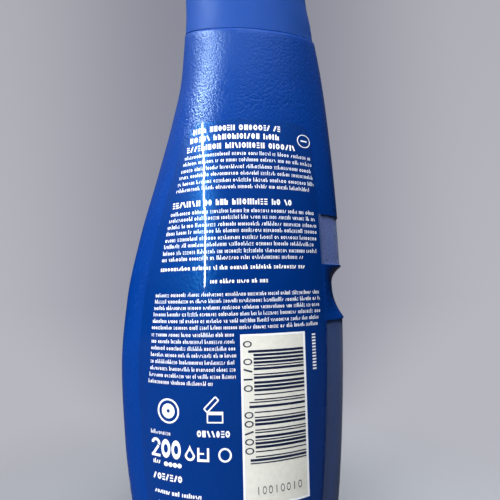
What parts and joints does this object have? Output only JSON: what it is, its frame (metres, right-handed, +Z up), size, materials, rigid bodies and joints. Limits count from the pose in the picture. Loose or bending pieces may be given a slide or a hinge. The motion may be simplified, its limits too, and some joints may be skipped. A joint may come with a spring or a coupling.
{
  "type": "sunscreen bottle",
  "caption": "Oval blue lotion bottle with a finger notch in one edge, a clear film on its back and a flip-top closure pressed over its neck.",
  "frame": {"origin": "middle of the bottle's outline, on the surface that it stands on", "axes": "+Z up; the pictured back with the clear film faces -Y; the finger notch is at +X"},
  "size_m": [0.0652, 0.0384, 0.19],
  "materials": {
    "flask_plastic": "fine moulded grain, satin, polyethylene dyed through",
    "clear_film": "glossy clear film over blue plastic, with pale print",
    "closure_plastic": "smooth glossy moulded polypropylene"
  },
  "bodies": {
    "container": {"bottle": "flask_plastic", "back_label": "clear_film", "cap_base": "closure_plastic", "living_hinge": "closure_plastic"},
    "lid": {"flip_lid": "closure_plastic"}
  },
  "joints": [
    {"name": "lid_hinge", "type": "hinge", "parent": "container", "child": "lid", "pos_m": [0.0067, -0.0126, 0.1711], "axis": [0.9957, 0, -0.0924], "range_deg": [0, 140], "deforming": ["living_hinge"]}
  ]
}
